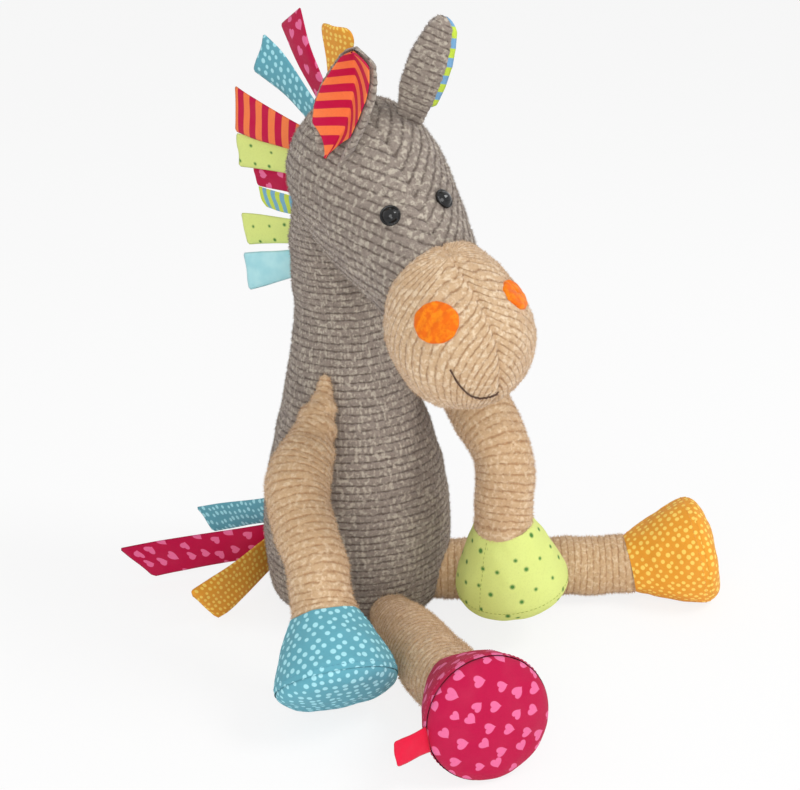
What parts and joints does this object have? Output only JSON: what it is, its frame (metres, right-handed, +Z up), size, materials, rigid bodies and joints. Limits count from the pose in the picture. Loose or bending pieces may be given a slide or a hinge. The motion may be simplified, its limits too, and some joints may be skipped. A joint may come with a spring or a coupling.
{
  "type": "plush horse",
  "caption": "Seated plush horse with a stuffed body, turned head, floppy limbs with cloth hooves, cupped ears, and a mane and tail of patterned cloth tabs.",
  "frame": {"origin": "middle of the flat seat under the body, on the surface that the toy sits on", "axes": "+Z up along the body, -Y the way the body faces, -X the horse's right"},
  "size_m": [0.2624, 0.2845, 0.2999],
  "materials": {
    "body": "matte",
    "head": "matte",
    "muzzle": "matte",
    "right_eye": "gloss",
    "left_eye": "gloss",
    "right_eye_washer": "matte",
    "left_eye_washer": "matte",
    "right_nostril": "matte",
    "left_nostril": "matte",
    "mouth_thread": "matte",
    "right_ear": "matte",
    "right_ear_lining": "matte",
    "left_ear": "matte",
    "left_ear_lining": "matte",
    "right_foreleg": "matte",
    "right_foreleg_hoof": "matte",
    "right_foreleg_sole": "matte",
    "left_foreleg": "matte",
    "left_foreleg_hoof": "matte",
    "left_foreleg_sole": "matte",
    "right_hindleg": "matte",
    "right_hindleg_hoof": "matte",
    "right_hindleg_sole": "matte",
    "left_hindleg": "matte",
    "left_hindleg_hoof": "matte",
    "left_hindleg_sole": "matte",
    "mane_tab_1": "matte",
    "mane_tab_2": "matte",
    "mane_tab_3": "matte",
    "mane_tab_4": "matte",
    "mane_tab_5": "matte",
    "mane_tab_6": "matte",
    "mane_tab_7": "matte",
    "mane_tab_8": "matte",
    "mane_tab_9": "matte",
    "tail_tab_1": "matte",
    "tail_tab_2": "matte",
    "tail_tab_3": "matte",
    "label_tab": "matte"
  },
  "bodies": {
    "body": {"body": "body"},
    "head": {"head": "head", "muzzle": "muzzle", "right_eye": "right_eye", "left_eye": "left_eye", "right_eye_washer": "right_eye_washer", "left_eye_washer": "left_eye_washer", "right_nostril": "right_nostril", "left_nostril": "left_nostril", "mouth_thread": "mouth_thread"},
    "right_ear": {"right_ear": "right_ear", "right_ear_lining": "right_ear_lining"},
    "left_ear": {"left_ear": "left_ear", "left_ear_lining": "left_ear_lining"},
    "right_foreleg": {"right_foreleg": "right_foreleg", "right_foreleg_hoof": "right_foreleg_hoof", "right_foreleg_sole": "right_foreleg_sole"},
    "left_foreleg": {"left_foreleg": "left_foreleg", "left_foreleg_hoof": "left_foreleg_hoof", "left_foreleg_sole": "left_foreleg_sole"},
    "right_hindleg": {"right_hindleg": "right_hindleg", "right_hindleg_hoof": "right_hindleg_hoof", "right_hindleg_sole": "right_hindleg_sole"},
    "left_hindleg": {"left_hindleg": "left_hindleg", "left_hindleg_hoof": "left_hindleg_hoof", "left_hindleg_sole": "left_hindleg_sole"},
    "mane_tab_1": {"mane_tab_1": "mane_tab_1"},
    "mane_tab_2": {"mane_tab_2": "mane_tab_2"},
    "mane_tab_3": {"mane_tab_3": "mane_tab_3"},
    "mane_tab_4": {"mane_tab_4": "mane_tab_4"},
    "mane_tab_5": {"mane_tab_5": "mane_tab_5"},
    "mane_tab_6": {"mane_tab_6": "mane_tab_6"},
    "mane_tab_7": {"mane_tab_7": "mane_tab_7"},
    "mane_tab_8": {"mane_tab_8": "mane_tab_8"},
    "mane_tab_9": {"mane_tab_9": "mane_tab_9"},
    "tail_tab_1": {"tail_tab_1": "tail_tab_1"},
    "tail_tab_2": {"tail_tab_2": "tail_tab_2"},
    "tail_tab_3": {"tail_tab_3": "tail_tab_3"},
    "label_tab": {"label_tab": "label_tab"}
  },
  "joints": [
    {"name": "head_turn", "type": "hinge", "parent": "body", "child": "head", "pos_m": [0, 0.009, 0.16], "axis": [-0.158, 0.072, 0.9848], "range_deg": [-20, 20]},
    {"name": "right_ear_bend", "type": "hinge", "parent": "head", "child": "right_ear", "pos_m": [-0.05056, -0.03363, 0.24525], "axis": [0.2792, -0.9167, -0.2857], "range_deg": [-20, 20], "stiffness_Nm_per_rad": 0.02},
    {"name": "left_ear_bend", "type": "hinge", "parent": "head", "child": "left_ear", "pos_m": [-0.01657, -0.04401, 0.255], "axis": [0.0644, 0.9418, 0.33], "range_deg": [-20, 20], "stiffness_Nm_per_rad": 0.02},
    {"name": "right_shoulder", "type": "hinge", "parent": "body", "child": "right_foreleg", "pos_m": [-0.02492, 0.00027, 0.138], "axis": [0, 1, 0], "range_deg": [0, 60]},
    {"name": "left_shoulder", "type": "hinge", "parent": "body", "child": "left_foreleg", "pos_m": [0.02492, 0.00027, 0.138], "axis": [-0.5519, -0.8339, 0], "range_deg": [0, 60]},
    {"name": "right_hip", "type": "hinge", "parent": "body", "child": "right_hindleg", "pos_m": [-0.00804, -0.0456, 0.0165], "axis": [0, 0, 1], "range_deg": [0, 20]},
    {"name": "left_hip", "type": "hinge", "parent": "body", "child": "left_hindleg", "pos_m": [0.03698, -0.02787, 0.0165], "axis": [0, 0, 1], "range_deg": [0, 25]},
    {"name": "mane_tab_1_bend", "type": "hinge", "parent": "head", "child": "mane_tab_1", "pos_m": [-0.02261, -0.00872, 0.26265], "axis": [-0.4434, -0.8393, 0.3147], "range_deg": [-25, 25], "stiffness_Nm_per_rad": 0.005},
    {"name": "mane_tab_2_bend", "type": "hinge", "parent": "head", "child": "mane_tab_2", "pos_m": [-0.01676, 0.00125, 0.25589], "axis": [-0.411, -0.6161, 0.6719], "range_deg": [-25, 25], "stiffness_Nm_per_rad": 0.005},
    {"name": "mane_tab_3_bend", "type": "hinge", "parent": "head", "child": "mane_tab_3", "pos_m": [-0.01178, 0.00762, 0.24519], "axis": [-0.3077, -0.2899, 0.9062], "range_deg": [-25, 25], "stiffness_Nm_per_rad": 0.005},
    {"name": "mane_tab_4_bend", "type": "hinge", "parent": "head", "child": "mane_tab_4", "pos_m": [-0.00834, 0.00997, 0.23299], "axis": [-0.2747, -0.2031, 0.9398], "range_deg": [-25, 25], "stiffness_Nm_per_rad": 0.005},
    {"name": "mane_tab_5_bend", "type": "hinge", "parent": "head", "child": "mane_tab_5", "pos_m": [-0.00444, 0.01378, 0.22179], "axis": [-0.3417, -0.3853, 0.8572], "range_deg": [-25, 25], "stiffness_Nm_per_rad": 0.005},
    {"name": "mane_tab_6_bend", "type": "hinge", "parent": "head", "child": "mane_tab_6", "pos_m": [0, 0.01874, 0.21057], "axis": [-0.3321, -0.3576, 0.8728], "range_deg": [-25, 25], "stiffness_Nm_per_rad": 0.005},
    {"name": "mane_tab_7_bend", "type": "hinge", "parent": "head", "child": "mane_tab_7", "pos_m": [0.00426, 0.02322, 0.19911], "axis": [-0.3261, -0.3405, 0.8819], "range_deg": [-25, 25], "stiffness_Nm_per_rad": 0.005},
    {"name": "mane_tab_8_bend", "type": "hinge", "parent": "head", "child": "mane_tab_8", "pos_m": [0.00809, 0.02644, 0.18692], "axis": [-0.2602, -0.1667, 0.951], "range_deg": [-25, 25], "stiffness_Nm_per_rad": 0.005},
    {"name": "mane_tab_9_bend", "type": "hinge", "parent": "head", "child": "mane_tab_9", "pos_m": [0.01133, 0.0282, 0.17432], "axis": [-0.2168, -0.0614, 0.9743], "range_deg": [-25, 25], "stiffness_Nm_per_rad": 0.005},
    {"name": "tail_tab_1_bend", "type": "hinge", "parent": "body", "child": "tail_tab_1", "pos_m": [0, 0.05129, 0.03975], "axis": [0, 0.4321, 0.9018], "range_deg": [-11, 11], "stiffness_Nm_per_rad": 0.02},
    {"name": "tail_tab_2_bend", "type": "hinge", "parent": "body", "child": "tail_tab_2", "pos_m": [-0.0042, 0.04717, 0.01622], "axis": [-0.0635, 0.0572, 0.9963], "range_deg": [-11, 11], "stiffness_Nm_per_rad": 0.02},
    {"name": "tail_tab_3_bend", "type": "hinge", "parent": "body", "child": "tail_tab_3", "pos_m": [-0.0084, 0.04716, 0.01765], "axis": [-0.0898, -0.0126, 0.9959], "range_deg": [-11, 0], "stiffness_Nm_per_rad": 0.02},
    {"name": "label_tab_bend", "type": "hinge", "parent": "right_hindleg", "child": "label_tab", "pos_m": [-0.1184, -0.13323, 0.02295], "axis": [0.0459, -0.1885, -0.981], "range_deg": [-20, 20], "stiffness_Nm_per_rad": 0.001}
  ]
}
